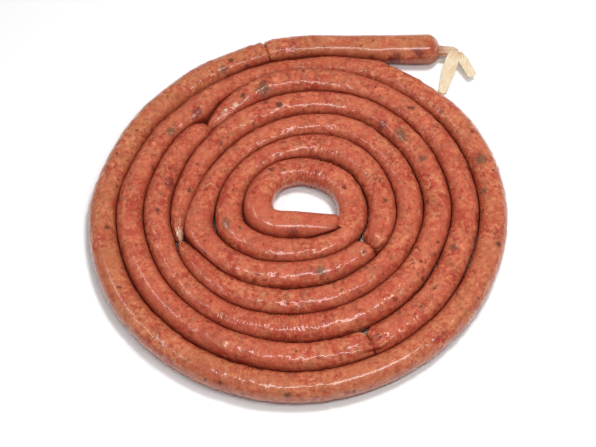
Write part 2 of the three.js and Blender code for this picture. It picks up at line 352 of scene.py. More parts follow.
class Route:
    """The casing's middle line, the room it has on each side, and where its twists are."""

    SAMPLES_PER_STATION = 12
    STEP = 2.0
    SIDEWAYS = 0.85              # the least cosine at which another turn counts as beside
    ALONGSIDE = 0.5              # and the least cosine between their two directions
    ANOTHER_TURN = 5             # how many radii along the casing another turn is at least
    NEAR = 3                     # and how many radii away it is at most
    THINNEST = 0.15              # share of the full radius that is left inside a twist
    LETTING_GO = 0.15            # how soon past the full spread a side is round again
    SMOOTHING = 2                # samples each way over which the sides are averaged
    OPEN = 3.0                   # radii to the wall where nothing lies beside
    FAR = 99.0

    def __init__(self, shape):
        places, fills = [], []
        twist_stations = [0]

        def add_station(x, y, fill=1.0):
            places.append((x, y))
            fills.append(fill)

        for station in OUTER_END:
            add_station(*station)
        for link in COIL_LINKS:
            twist_stations.append(len(places))
            for bearing, distance, *fill in link:
                angle = math.radians(bearing)
                add_station(distance * math.cos(angle), distance * math.sin(angle), *fill)
        for station in INNER_END:
            add_station(*station)
        twist_stations.append(len(places) - 1)

        line = smooth_line(np.array(places) + COIL_CENTRE, self.SAMPLES_PER_STATION)
        along = lengths_along(line)
        at_stations = along[::self.SAMPLES_PER_STATION]
        self.twists = at_stations[twist_stations]
        self.along = np.linspace(0, along[-1], int(along[-1] / self.STEP))
        self.x = np.interp(self.along, along, line[:, 0])
        self.y = np.interp(self.along, along, line[:, 1])
        self.fill = np.interp(self.along, at_stations, fills)
        heading = np.stack((np.gradient(self.x), np.gradient(self.y)))
        heading /= np.linalg.norm(heading, axis=0)
        self.side_x, self.side_y = heading[1], -heading[0]
        numbers = range(1, len(SHOULDERS) + 1)
        self.links = [Link(number, self.twists, shape.casing_radius) for number in numbers]
        self.press_together(shape)

    def press_together(self, shape):
        """Finds the room left and right, shared with another turn where one lies beside."""
        thick = np.zeros(len(self.along))
        margin = self.STEP / 2
        for link in self.links:
            own = (self.along >= link.start - margin) & (self.along <= link.end + margin)
            thick = np.where(own, link.girth(self.along)[0], thick)
        thick = np.maximum(thick, self.THINNEST) * shape.casing_radius * self.fill
        dx = self.x[None, :] - self.x[:, None]
        dy = self.y[None, :] - self.y[:, None]
        distance = np.hypot(dx, dy) + 1e-9
        across = (dx * self.side_x[:, None] + dy * self.side_y[:, None]) / distance
        same_way = self.side_x * self.side_x[:, None] + self.side_y * self.side_y[:, None]
        beside = (
            (np.abs(self.along[None, :] - self.along[:, None])
             > self.ANOTHER_TURN * shape.casing_radius)
            & (np.abs(same_way) > self.ALONGSIDE)
            & (distance < self.NEAR * shape.casing_radius)
            & (np.abs(across) > self.SIDEWAYS))
        room = (distance - shape.skin_gap) / (thick[:, None] + thick[None, :])
        room = np.where(beside, room, self.FAR)
        for hand, turns in (("left", across < 0), ("right", across > 0)):
            wall = np.where(turns, room, self.FAR).min(axis=1)
            loose = eased((wall - shape.spread) / self.LETTING_GO)
            stretch = np.where(wall < self.FAR, wall * (1 - loose) + loose, 1.0)
            setattr(self, hand, np.minimum(averaged(stretch, self.SMOOTHING), wall))
            setattr(self, hand + "_wall", np.minimum(wall, self.OPEN))

    def at(self, name, along):
        """One of the route's values at any length along it."""
        return np.interp(along, self.along, getattr(self, name))


# ------------------------------------------------------------------ sheets rolled into tubes

MAP_MARGIN = 0.02                # of a strip's width, on the bake map
WELD = 5e-7                      # in metres


def flat_sheet(name, long_faces, round_faces, strips):
    """A flat grid, 1 by 1, whose UV map cuts it into strips laid side by side."""
    bm = bmesh.new()
    bm.loops.layers.uv.new("OFBake")
    bmesh.ops.create_grid(
        bm, x_segments=long_faces, y_segments=round_faces, size=0.5, calc_uvs=True)
    mesh = bpy.data.meshes.new(name)
    bm.to_mesh(mesh)
    bm.free()
    layer = mesh.uv_layers[0].uv
    uv = np.empty(len(layer) * 2)
    layer.foreach_get("vector", uv)
    corners = uv.reshape(-1, 4, 2)
    first = corners[:, :, 0].min(axis=1, keepdims=True)
    strip = np.floor(first * strips + 1e-4).clip(0, strips - 1)
    corners[:, :, 0] = corners[:, :, 0] * strips - strip
    inset = MAP_MARGIN + (1 - 2 * MAP_MARGIN) * corners[:, :, 1]
    corners[:, :, 1] = (strip + inset) / strips
    layer.foreach_set("vector", corners.ravel())
    return mesh


def sheet_places(mesh):
    """How far along and how far round each vertex of a flat sheet is, as shares."""
    flat = np.empty(len(mesh.vertices) * 3)
    mesh.vertices.foreach_get("co", flat)
    flat = flat.reshape(-1, 3)
    return np.clip(flat[:, 0] + 0.5, 0, 1), np.clip(flat[:, 1] + 0.5, 0, 1)


def store(mesh, name, values):
    """Keeps a number for each vertex, for the materials to read."""
    layer = mesh.attributes.new(name, "FLOAT", "POINT")
    layer.data.foreach_set("value", np.asarray(values, np.float32))


def store_vector(mesh, name, values):
    """Keeps a vector for each vertex, for the materials to read."""
    layer = mesh.attributes.new(name, "FLOAT_VECTOR", "POINT")
    layer.data.foreach_set("vector", np.asarray(values, np.float32).ravel())


def close_tube(mesh, places):
    """Moves the vertices to their places, in millimetres, and welds the seam and poles."""
    mesh.vertices.foreach_set("co", (places * MM).ravel())
    bm = bmesh.new()
    bm.from_mesh(mesh)
    bmesh.ops.remove_doubles(bm, verts=bm.verts, dist=WELD)
    bmesh.ops.recalc_face_normals(bm, faces=bm.faces)
    bm.to_mesh(mesh)
    bm.free()
    mesh.shade_smooth()


def add_piece(mesh, node, material):
    """Shows the mesh in place of a CAD node."""
    piece = bpy.data.objects.new(mesh.name, mesh)
    bpy.context.collection.objects.link(piece)
    mesh.materials.append(material)
    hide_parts(node)
    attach(piece, BODY)
    return piece


def noise_at(places, size, seed=0.0):
    """Smooth noise from -1 to 1 at places in millimetres, with blobs of about that size."""
    scaled = (places / size + seed).tolist()
    return np.array([noise.noise(place) for place in scaled])


def pebbles_at(places, size, seed=0.0):
    """Round heads packed side by side, 1 in their middles and 0 between them."""
    scaled = (places / size + seed).tolist()
    nearest = np.array([noise.voronoi(place)[0][0] for place in scaled])
    return 1 - eased(nearest / 0.9)


# ------------------------------------------------------------------ links

MOST_FACES = 97000               # the most faces on one link's mesh; a denser mesh would be thinned when it is exported
CAP_SHARES = (0.0, 0.35, 0.7)    # rings that close a link's end inside its twist
SHOULDER_DENSITY = 1.6           # how much closer the rings of a shoulder stand
WALL_SOFTNESS = 0.3              # how softly, in millimetres, a side meets its neighbour
FLOOR_SOFTNESS = 0.4             # and the underside the surface
TAUT_FADE = 14.0                 # over which a taut stretch begins and ends, in millimetres
RIBS_FADE = 12.0                 # and a ribbed one
RIB_PITCH = 3.0
RIB_DEPTH = 0.3
CREASE_WIDTH = 1.1               # half of it, in millimetres
OUTER_PLEATS = 11                # how many run round a link's outer end
INNER_PLEATS = 12                # and round its inner end
PLEAT_LEAN = 0.09                # in radians of a pleat for each millimetre
TAUT_CALM = 0.85                 # share of its relief that a taut stretch loses
GATHERED_FROM = 900.0            # past it the casing has faint ribs here and there
STAIN_EDGE = 0.8                 # how ragged a stain's edge is, as a share of its size
GIRTH_SIZE = 26.0                # of the slow changes of the radius
PATCH_SIZE = 21.0                # of the coarser and the smoother patches
PIECE_SIZE = 6.2                 # of single pieces of meat
CLUMP_SIZE = 7.5
GRAIN_SIZE = 2.7
FINE_GRAIN_SIZE = 1.6
GROOVE_REACH = 2.2               # how far its shade reaches from the wall, in millimetres
UNDERSIDE_SHADE = 0.85           # as a share of the shade in a groove
UNDERSIDE_FROM = 0.25            # the cosine from the top at which it begins
UNDERSIDE_FADE = 0.85
TAN_UNTIL = 1500.0               # the outer turns are tanner, less and less up to here
TAN_FADE = 1200.0


def soft_limit(value, limit, softness):
    """The value, held smoothly below the limit."""
    return limit - softness * np.logaddexp(0.0, (limit - value) / softness)


def link_rings(link, step):
    """Where a link's rings stand along the route, closer together on its shoulders."""
    outer, inner = link.lengths

    def rings_of_shoulder(length):
        count = max(10, round(SHOULDER_DENSITY * length / step))
        return length * (1 - np.cos(np.linspace(0, math.pi / 2, count, endpoint=False)))

    straight = link.end - link.start - outer - inner
    middle = np.linspace(link.start + outer, link.end - inner, max(2, round(straight / step)))
    return np.concatenate((
        np.full(len(CAP_SHARES), link.start),
        link.start + rings_of_shoulder(outer),
        middle,
        link.end - rings_of_shoulder(inner)[::-1],
        np.full(len(CAP_SHARES), link.end),
    ))


def tautness(along):
    """1 on the stretches that are filled tight, and 0 well away from them."""
    taut = np.zeros(len(along))
    for since, until in TAUT_STRETCHES:
        begun = eased((along - since) / TAUT_FADE + 0.5)
        tight = begun * eased((until - along) / TAUT_FADE + 0.5)
        taut = np.maximum(taut, tight)
    return taut


def creases(straight, angle, radius):
    """How deep the folds across the casing are, in millimetres."""
    depth = np.zeros(len(angle))
    along = straight[:, 0] + 1.8 * noise_at(straight, 6.0, seed=4.4)
    for at, middle, reach, deep, lean in CREASES:
        turned = (angle - math.radians(middle)) / math.radians(reach)
        off = along - at - lean * radius * turned
        depth += deep * np.exp(-(off / CREASE_WIDTH) ** 2) * eased(1.3 - np.abs(turned))
    faint = 0.3 * eased(1.8 * noise_at(straight, 17.0, seed=6.6))
    gathered = faint * eased((along - GATHERED_FROM) / 600)
    for since, until in RIBBED_STRETCHES:
        within = eased((along - since) / RIBS_FADE) * eased((until - along) / RIBS_FADE)
        gathered = np.maximum(gathered, within)
    gathered *= eased(0.75 + 0.9 * noise_at(straight, 7.0, seed=2.2))
    return depth + RIB_DEPTH * gathered * (1 + np.cos(2 * math.pi * along / RIB_PITCH))


def pleats(link, along, angle):
    """The folds that run along a link into its pinches."""
    height = np.zeros(len(along))
    for distance, (_, _, deep, reach), folds in (
            (along - link.start, link.pinches[0], OUTER_PLEATS),
            (link.end - along, link.pinches[1], INNER_PLEATS)):
        fold = np.cos(folds * angle + PLEAT_LEAN * distance)
        fold = fold + 0.6 * np.cos((folds - 4) * angle + 1.7)
        height += deep * fold * np.exp(-np.maximum(distance, 0) / reach)
    return height


def stain_masks(straight, angle, radius):
    """How strongly each kind of stain shows at each vertex."""
    masks = {}
    ragged = noise_at(straight, 2.6, seed=8.2) + 0.8 * noise_at(straight, 1.3, seed=5.5)
    for kind, stains in STAINS.items():
        masks[kind] = np.zeros(len(angle))
        for at, middle, size in stains:
            round_it = radius * (angle - math.radians(middle))
            far = np.hypot(straight[:, 0] - at, round_it) / size + STAIN_EDGE * ragged
            masks[kind] = np.maximum(masks[kind], eased(1.5 - far))
    return masks


def meat_relief(straight, shape):
    """How far the pieces of meat and the mince's grain stand out, in millimetres."""
    patches = eased(0.5 + 1.3 * noise_at(straight, PATCH_SIZE, seed=7.7))
    clumps = 0.8 * noise_at(straight, CLUMP_SIZE, seed=5.1)
    chunks = pebbles_at(straight, PIECE_SIZE, seed=1.3) - 0.5 + clumps
    fine = noise_at(straight, GRAIN_SIZE, seed=9.4)
    fine = fine + 0.6 * noise_at(straight, FINE_GRAIN_SIZE, seed=2.6)
    return shape.lump * chunks * (0.45 + 0.75 * patches) + shape.grain * fine * (0.3 + patches)


def make_link(link, route, shape, material):
    """One link, filled, pressed against its neighbours and settled on the surface."""
    radius = shape.casing_radius
    length = link.end - link.start
    circumference = 2 * math.pi * radius
    step = max(shape.mesh_step, math.sqrt(length * circumference / MOST_FACES))
    rings = link_rings(link, step)
    strips = max(1, round(math.sqrt(length / circumference)))
    mesh = flat_sheet(link.name, len(rings) - 1, round(circumference / step), strips)

    share, around = sheet_places(mesh)
    ring = share * (len(rings) - 1)
    along = np.interp(ring, np.arange(len(rings)), rings)
    angle = (around - 0.5) * 2 * math.pi
    up, out = np.cos(angle), np.sin(angle)
    straight = np.stack((along, radius * up, radius * out), axis=1)

    full, risen = link.girth(along)
    from_end = np.minimum(ring, len(rings) - 1 - ring)
    cap = np.interp(from_end, range(len(CAP_SHARES) + 1), (*CAP_SHARES, 1.0))
    fill = route.at("fill", along)
    taut = tautness(along)
    slack = 1 - TAUT_CALM * taut
    slow = noise_at(straight * (1, 0.4, 0.4), GIRTH_SIZE, seed=3.1)
    swell = radius * shape.bulge * slow * (0.4 + 0.6 * slack)
    folded = creases(straight, angle, radius)
    relief = meat_relief(straight, shape) * slack - folded + pleats(link, along, angle)
    reach = cap * (radius * fill * full + risen**0.5 * swell + relief * np.minimum(1, 0.3 + full))

    right = out > 0
    across = np.where(right, 1.0, -1.0)
    stretch = np.where(right, route.at("right", along), route.at("left", along))
    wall = np.where(right, route.at("right_wall", along), route.at("left_wall", along))
    wall = wall * radius * fill * full
    sideways = reach * np.abs(out) * np.maximum(stretch, 1.0)
    sideways = soft_limit(sideways, wall, WALL_SOFTNESS)
    sideways = np.where(np.abs(out) < 1e-6, 0.0, np.maximum(sideways, 0.0))
    low = link.pinch_height(along)
    height = low + (radius * fill - shape.settle - low) * risen + reach * up
    height = -soft_limit(-height, 0.0, FLOOR_SOFTNESS)

    # Painted shade: the skin is darkened near the wall where another turn lies beside it, on its
    # underside, and where it narrows into a pinch; the same mask thins the wet film there.
    groove = np.exp(-np.maximum(wall - sideways, 0) / GROOVE_REACH)
    underside = UNDERSIDE_SHADE * eased((UNDERSIDE_FROM - up) / UNDERSIDE_FADE)
    groove = np.maximum(groove, underside)
    pinched = np.minimum(full + 0.25, 1) ** 0.5
    places = np.stack((
        route.at("x", along) + route.at("side_x", along) * sideways * across,
        route.at("y", along) + route.at("side_y", along) * sideways * across,
        height,
    ), axis=1)
    store_vector(mesh, "casing", straight)
    store(mesh, "groove", np.maximum(groove, 1 - pinched))
    store(mesh, "tan", eased((TAN_UNTIL - along) / TAN_FADE))
    store(mesh, "taut", taut)
    masks = stain_masks(straight, angle, radius)
    # the folds across the casing are also darkened towards the lean colour by their depth: painted
    # shade in the creases, beside the real red stains
    masks["red"] = np.maximum(masks["red"], np.clip(1.4 * folded, 0, 0.8))
    for kind, mask in masks.items():
        store(mesh, kind, mask)
    close_tube(mesh, places)
    return add_piece(mesh, link.name, material)


# ------------------------------------------------------------------ twists, neck and tails

TWIST_REACH = 2.6                # each way from its middle, in millimetres
TWIST_FOLDS = 9
TWIST_SPIRAL = 2.6               # how far its folds shift over its reach, in radians of a fold
WIDE_PINCH = 5                   # a wider one is a little oval
SHUT_PINCH = 3                   # a tighter one is drier
NECK_FOLDS = 6
NECK_SPIRAL = 2.2
NECK_SHARES = (0, 0.2, 0.45, 0.75, 1)
NECK_WIDTHS = (5.8, 4.8, 4.2, 4.8, 5.0)          # to each side, at those shares of its length
NECK_HEIGHTS = (5.8, 4.8, 4.0, 3.4, 2.6)
NECK_LENGTH = 17                 # in millimetres, for the scale of the pattern on it
TAIL_LENGTH = 40                 # and on the tails
FRONT_TAIL_WIDTHS = (6.5, 12.0, 7.5)             # at its start, its widest place and its end
BACK_TAIL_WIDTHS = (5.5, 9.0, 8.5)
TAIL_SHARES = (0, 0.35, 1)
TAIL_LOWEST = 0.25               # no part of a tail is nearer to the surface below


def make_twist(number, route, material):
    """The casing twisted shut between two links, its folds running round in a spiral."""
    waist, middle_height = PINCHES[number][:2]
    mesh = flat_sheet(f"twist_{number}", 24, 108, 1)
    share, around = sheet_places(mesh)
    way = 2 * share - 1
    along = route.twists[number] + TWIST_REACH * way
    angle = (around - 0.5) * 2 * math.pi
    flare = 0.9 + 0.2 * way**2
    closing = np.sqrt(np.clip(1 - way**12, 0, 1))
    fold = np.cos(TWIST_FOLDS * angle + TWIST_SPIRAL * way)
    radius = waist * flare * closing * (1 + 0.07 * fold + 0.03 * np.cos(3 * angle + 1.0))
    radius *= 1 + 0.02 * (waist > WIDE_PINCH) * np.cos(2 * angle)
    places = np.stack((
        route.at("x", along) + route.at("side_x", along) * radius * np.sin(angle),
        route.at("y", along) + route.at("side_y", along) * radius * np.sin(angle),
        middle_height + radius * np.cos(angle),
    ), axis=1)
    straight = np.stack((along, 6 * np.cos(angle), 6 * np.sin(angle)), axis=1)
    store_vector(mesh, "casing", straight)
    # 1 in the hollows between the folds, where the casing gets painted shade.
    store(mesh, "fold", 0.5 - 0.5 * fold)
    store(mesh, "dry", np.full(len(share), 0.6 * (waist < SHUT_PINCH)))
    close_tube(mesh, places)
    return add_piece(mesh, f"twist_{number}", material)


def line_frame(points, share):
    """Places on a free line at the shares of its length, with its side and up directions."""
    line = smooth_line(points, 24)
    line[:, :2] += COIL_CENTRE
    along = lengths_along(line)
    at = share * along[-1]
    place = np.stack([np.interp(at, along, line[:, k]) for k in range(3)], axis=1)
    heading = np.gradient(line, axis=0)
    heading = np.stack([np.interp(at, along, heading[:, k]) for k in range(3)], axis=1)
    heading /= np.linalg.norm(heading, axis=1, keepdims=True)
    side = np.cross(heading, (0.0, 0.0, 1.0))
    side /= np.linalg.norm(side, axis=1, keepdims=True)
    return place, side, np.cross(side, heading)


def make_neck(material):
    """The empty casing gathered past the outer link, widening and flattening to its fold."""
    mesh = flat_sheet("casing_neck", 60, 96, 1)
    share, around = sheet_places(mesh)
    angle = (around - 0.5) * 2 * math.pi
    place, side, up = line_frame(NECK_POINTS, share)
    gathered = np.exp(-((share - 0.42) / 0.25) ** 2)
    wide = np.interp(share, NECK_SHARES, NECK_WIDTHS)
    tall = np.interp(share, NECK_SHARES, NECK_HEIGHTS)
    closing = np.sqrt(np.clip(1 - np.abs(2 * share - 1) ** 16, 0, 1))
    fold = np.cos(NECK_FOLDS * angle + NECK_SPIRAL * share)
    swell = 1 + (0.05 + 0.08 * gathered) * fold
    across = wide * swell * closing * np.sin(angle)
    lift = tall * swell * closing * np.cos(angle)
    places = place + side * across[:, None] + up * lift[:, None]
    straight = np.stack((share * NECK_LENGTH, 4 * np.cos(angle), 4 * np.sin(angle)), axis=1)
    store_vector(mesh, "casing", straight)
    # Higher in the hollows between the folds, where the casing gets a weaker painted shade.
    store(mesh, "fold", 0.25 - 0.25 * fold)
    store(mesh, "dry", 0.2 + 0.55 * eased((share - 0.2) / 0.7))
    close_tube(mesh, places)
    return add_piece(mesh, "casing_neck", material)


def make_tail(name, points, widths, seed, material):
    """A flat tail of dried casing, a little curled, with uneven edges."""
    mesh = flat_sheet(name, 120, 64, 1)
    share, around = sheet_places(mesh)
    angle = (around - 0.5) * 2 * math.pi
    place, side, up = line_frame(points, share)
    flat = np.sin(angle)
    face = np.cos(angle)
    width = np.interp(share, TAIL_SHARES, widths) / 2
    closing = np.sqrt(np.clip(1 - np.abs(2 * share - 1) ** 30, 0, 1))
    straight = np.stack((share * TAIL_LENGTH, flat * 5, face), axis=1)
    ripple = noise_at(straight * (1, 1.3, 0) + seed, 5.0)
    edge = noise_at(straight * (1, 0, 0) + seed + 3, 4.0) * 0.25
    thick = 0.5 + 0.2 * np.abs(flat) ** 6
    across = flat * (width + edge * np.abs(flat)) * closing
    curl = 1.1 * flat**2 * (0.4 + 0.6 * share) + 0.4 * ripple
    lift = curl + thick * face * closing
    places = place + side * across[:, None] + up * lift[:, None]
    places[:, 2] = np.maximum(places[:, 2], TAIL_LOWEST)
    store_vector(mesh, "casing", straight)
    store(mesh, "moist", eased((0.3 - share) / 0.3))
    close_tube(mesh, places)
    return add_piece(mesh, name, material)


# ------------------------------------------------------------------ materials


class Graph:
    """A node tree, with short calls to add nodes and join them."""

    def __init__(self, tree):
        self.tree = tree

    def add(self, kind, inputs=None, **settings):
        """Adds a node; each input is given a value, or joined if it is given a socket."""
        node = self.tree.nodes.new(kind)
        for name, value in settings.items():
            setattr(node, name, value)
        for name, value in (inputs or {}).items():
            if isinstance(value, bpy.types.NodeSocket):
                self.tree.links.new(value, node.inputs[name])
            else:
                node.inputs[name].default_value = value
        return node

    def math(self, operation, *values, clamp=False):
        """A sum, product or the like of numbers and sockets."""
        return self.add(
            "ShaderNodeMath", dict(enumerate(values)), operation=operation,
            use_clamp=clamp).outputs[0]

    def noise(self, place, size, detail=2.0, roughness=0.5, distortion=0.0):
        """Noise with blobs of about the size, in millimetres."""
        node = self.add("ShaderNodeTexNoise", {
            "Vector": place, "Scale": 1 / size, "Detail": detail, "Roughness": roughness,
            "Distortion": distortion})
        return node.outputs["Fac"]

    def between(self, value, low, high):
        """0 up to low and 1 from high, and smooth in between."""
        node = self.add(
            "ShaderNodeMapRange", {"Value": value, "From Min": low, "From Max": high},
            interpolation_type="SMOOTHSTEP")
        return node.outputs["Result"]

    def mix(self, share, first, second):
        """A blend of two colours, whose sockets come after those for numbers and vectors."""
        values = {0: share, 6: first, 7: second}
        return self.add("ShaderNodeMix", values, data_type="RGBA").outputs[2]


def new_group(name, sockets_in, sockets_out):
    """An empty shader node group with the named sockets."""
    tree = bpy.data.node_groups.new(name, "ShaderNodeTree")
    for socket, kind, default in sockets_in:
        made = tree.interface.new_socket(socket, in_out="INPUT", socket_type=kind)
        if default is not None:
            made.default_value = default
    for socket, kind in sockets_out:
        tree.interface.new_socket(socket, in_out="OUTPUT", socket_type=kind)
    return tree, tree.nodes.new("NodeGroupInput").outputs, tree.nodes.new("NodeGroupOutput").inputs


def mince_group():
    """Pieces of lean meat and fat, seen softly through the casing."""
    tree, given, out = new_group(
        "Mince", [("Place", "NodeSocketVector", None), ("Piece Size", "NodeSocketFloat", 4.0)],
        [("Lean", "NodeSocketFloat"), ("Fat", "NodeSocketFloat"), ("Height", "NodeSocketFloat")])
    graph = Graph(tree)
    scaled = graph.add("ShaderNodeVectorMath", {0: given["Place"]}, operation="DIVIDE")
    spread = graph.add("ShaderNodeCombineXYZ", {
        "X": given["Piece Size"], "Y": given["Piece Size"], "Z": given["Piece Size"]})
    tree.links.new(spread.outputs[0], scaled.inputs[1])
    wander = graph.add(
        "ShaderNodeTexNoise", {"Vector": scaled.outputs[0], "Scale": 1.1, "Detail": 3.0})
    shove = graph.add(
        "ShaderNodeVectorMath", {0: wander.outputs["Color"], 1: (0.5, 0.5, 0.5)},
        operation="SUBTRACT")
    push = graph.add("ShaderNodeVectorMath", {0: shove.outputs[0], "Scale": 1.6}, operation="SCALE")
    place = graph.add(
        "ShaderNodeVectorMath", {0: scaled.outputs[0], 1: push.outputs[0]}, operation="ADD")
    cells = graph.add(
        "ShaderNodeTexVoronoi", {"Vector": place.outputs[0], "Scale": 1.0, "Smoothness": 0.35},
        feature="SMOOTH_F1")
    parts = graph.add("ShaderNodeSeparateColor", {"Color": cells.outputs["Color"]})
    broad = graph.noise(scaled.outputs[0], 1 / 0.45)
    lean = graph.math("ADD", parts.outputs["Red"], graph.math("MULTIPLY", broad, 0.9))
    fat = graph.math("SUBTRACT", parts.outputs["Green"], graph.math("MULTIPLY", broad, 0.6))
    tree.links.new(graph.between(lean, 0.7, 1.4), out["Lean"])
    tree.links.new(graph.between(fat, 0.0, 0.65), out["Fat"])
    tree.links.new(graph.math("SUBTRACT", 1.0, cells.outputs["Distance"]), out["Height"])
    return tree


def specks_group():
    """Specks of pepper and spice, a few in a handful of places."""
    tree, given, out = new_group(
        "Specks",
        [("Place", "NodeSocketVector", None), ("Spacing", "NodeSocketFloat", 6.0),
         ("Size", "NodeSocketFloat", 0.2), ("Share", "NodeSocketFloat", 0.3)],
        [("Mask", "NodeSocketFloat")])
    graph = Graph(tree)
    spread = graph.add("ShaderNodeCombineXYZ", {
        "X": given["Spacing"], "Y": given["Spacing"], "Z": given["Spacing"]})
    scaled = graph.add(
        "ShaderNodeVectorMath", {0: given["Place"], 1: spread.outputs[0]}, operation="DIVIDE")
    wander = graph.add(
        "ShaderNodeTexNoise", {"Vector": scaled.outputs[0], "Scale": 3.0, "Detail": 2.0})
    shove = graph.add(
        "ShaderNodeVectorMath", {0: wander.outputs["Color"], "Scale": 0.55}, operation="SCALE")
    place = graph.add(
        "ShaderNodeVectorMath", {0: scaled.outputs[0], 1: shove.outputs[0]}, operation="ADD")
    cells = graph.add("ShaderNodeTexVoronoi", {"Vector": place.outputs[0], "Scale": 1.0})
    parts = graph.add("ShaderNodeSeparateColor", {"Color": cells.outputs["Color"]})
    size = graph.math("MULTIPLY", given["Size"], graph.math("ADD", 0.5, parts.outputs["Green"]))
    depth = graph.math("DIVIDE", cells.outputs["Distance"], size)
    chosen = graph.math("LESS_THAN", parts.outputs["Red"], given["Share"])
    blot = graph.math("SUBTRACT", 1.0, graph.between(depth, 0.6, 1.2))
    tree.links.new(graph.math("MULTIPLY", blot, chosen), out["Mask"])
    return tree


def new_material(name):
    """A material with an empty tree and its Principled shader."""
    material = bpy.data.materials.new(name)
    material.use_nodes = True
    material.node_tree.nodes.clear()
    graph = Graph(material.node_tree)
    shader = graph.add("ShaderNodeBsdfPrincipled")
    graph.add("ShaderNodeOutputMaterial", {"Surface": shader.outputs[0]})
    return material, graph, shader


def join(graph, shader, name, socket):
    """Feeds one of the shader's inputs."""
    graph.tree.links.new(socket, shader.inputs[name])


def attribute(graph, name, output="Fac"):
    """A value kept on the vertices."""
    return graph.add("ShaderNodeAttribute", attribute_name=name).outputs[output]


# The mottling, in the order in which its layers lie over each other: the size of its patches
# in millimetres, the noise where one starts and where it is full, its strength and colour.
MOTTLING = (
    (15.0, 0.46, 0.62, 0.68, "lean"), (9.0, 0.5, 0.66, 0.55, "brown"),
    (8.0, 0.57, 0.72, 0.6, "bruise"), (17.0, 0.5, 0.66, 0.25, "fat"),
    (5.5, 0.5, 0.62, 0.6, "lean"), (4.4, 0.53, 0.64, 0.5, "fat"),
    (3.0, 0.57, 0.68, 0.5, "pepper"), (1.5, 0.58, 0.7, 0.35, "fat"),
)
MIXED_SIZE = 28.0                # of the stretches that are mottled more, in millimetres
MINCE_SIZE = 2.6                 # of the finest pieces of lean meat and fat
MINCE_STRENGTH = 0.32
PEPPERING = ((5.5, 0.26, 0.25, 0.5), (10.0, 0.17, 0.4, 0.8))     # spacing, size, share, strength
STAIN_TONES = (
    ("pepper", 0.9, "pepper"), ("bruise", 0.75, "bruise"), ("herb", 0.7, "herb"),
    # the pale marks are partly whitish casing and partly painted highlight
    ("ochre", 0.6, "casing"), ("red", 0.6, "lean"), ("pale", 0.7, "dry_casing"),
)


def tone(finish, name):
    """One of the finish's colours."""
    return tuple(getattr(finish, name))


def sausage_skin(finish, mince, specks):
    """Coarse mince seen through a thin, wet natural casing, with painted shade in its grooves and
    underneath.
    """
    material, graph, shader = new_material("Sausage skin")
    place = attribute(graph, "casing", "Vector")
    tanner = attribute(graph, "tan")
    colour = graph.mix(tanner, tone(finish, "meat"), tone(finish, "tan_meat"))
    meat = graph.add("ShaderNodeGroup", node_tree=mince)
    graph.tree.links.new(place, meat.inputs["Place"])
    meat.inputs["Piece Size"].default_value = MINCE_SIZE
    taut = attribute(graph, "taut")
    mixed = graph.between(graph.noise(place, MIXED_SIZE), 0.35, 0.62)
    mixed = graph.math("ADD", graph.math("MULTIPLY", mixed, 0.55), 0.6)
    mixed = graph.math("SUBTRACT", mixed, graph.math("MULTIPLY", taut, 0.25))
    for size, low, high, strength, name in MOTTLING:
        moved = graph.add(
            "ShaderNodeVectorMath", {0: place, 1: (7 * size, -3 * size, 5 * size)},
            operation="ADD")
        spots = graph.between(graph.noise(moved.outputs[0], size, 3.0, 0.55), low, high)
        share = graph.math("MULTIPLY", graph.math("MULTIPLY", spots, strength), mixed)
        colour = graph.mix(share, colour, tone(finish, name))
    for piece, name in (("Lean", "lean"), ("Fat", "fat")):
        share = graph.math("MULTIPLY", meat.outputs[piece], MINCE_STRENGTH)
        share = graph.math("MULTIPLY", share, mixed)
        colour = graph.mix(share, colour, tone(finish, name))
    for spacing, size, share, strength in PEPPERING:
        dots = graph.add("ShaderNodeGroup", node_tree=specks)
        graph.tree.links.new(place, dots.inputs["Place"])
        dots.inputs["Spacing"].default_value = spacing
        dots.inputs["Size"].default_value = size
        dots.inputs["Share"].default_value = share
        mask = graph.math("MULTIPLY", dots.outputs["Mask"], strength)
        colour = graph.mix(mask, colour, tone(finish, "pepper"))
    for stain, strength, name in STAIN_TONES:
        mask = graph.math("MULTIPLY", attribute(graph, stain), strength)
        colour = graph.mix(mask, colour, tone(finish, name))
    # Painted shade: darker towards the deep colour in the grooves between turns, on the undersides
    # and at the narrowing ends.
    groove = attribute(graph, "groove")
    shade = graph.math("MULTIPLY", groove, 0.8)
    colour = graph.mix(shade, colour, tone(finish, "deep"))
    join(graph, shader, "Base Color", colour)

    shader.inputs["IOR"].default_value = 1.42
    shader.inputs["Specular IOR Level"].default_value = 0.22
    film = graph.math("SUBTRACT", 0.95, graph.math("MULTIPLY", groove, 1.9), clamp=True)
    join(graph, shader, "Coat Weight", film)
    shader.inputs["Coat Roughness"].default_value = finish.wet_roughness
    shader.inputs["Coat IOR"].default_value = 1.5
    moist = graph.math("MULTIPLY", graph.noise(place, 5.0), 0.2)
    join(graph, shader, "Roughness", graph.math("ADD", finish.skin_roughness - 0.08, moist))
    grain = graph.math("ADD", graph.noise(place, 2.4, 1.0), meat.outputs["Height"])
    loose = graph.math("SUBTRACT", 1.0, graph.math("MULTIPLY", taut, 0.9))
    grain = graph.math("MULTIPLY", grain, loose)
    bump = graph.add("ShaderNodeBump", {"Height": grain, "Strength": 0.5, "Distance": 0.5 * MM})
    join(graph, shader, "Normal", bump.outputs[0])
    return material


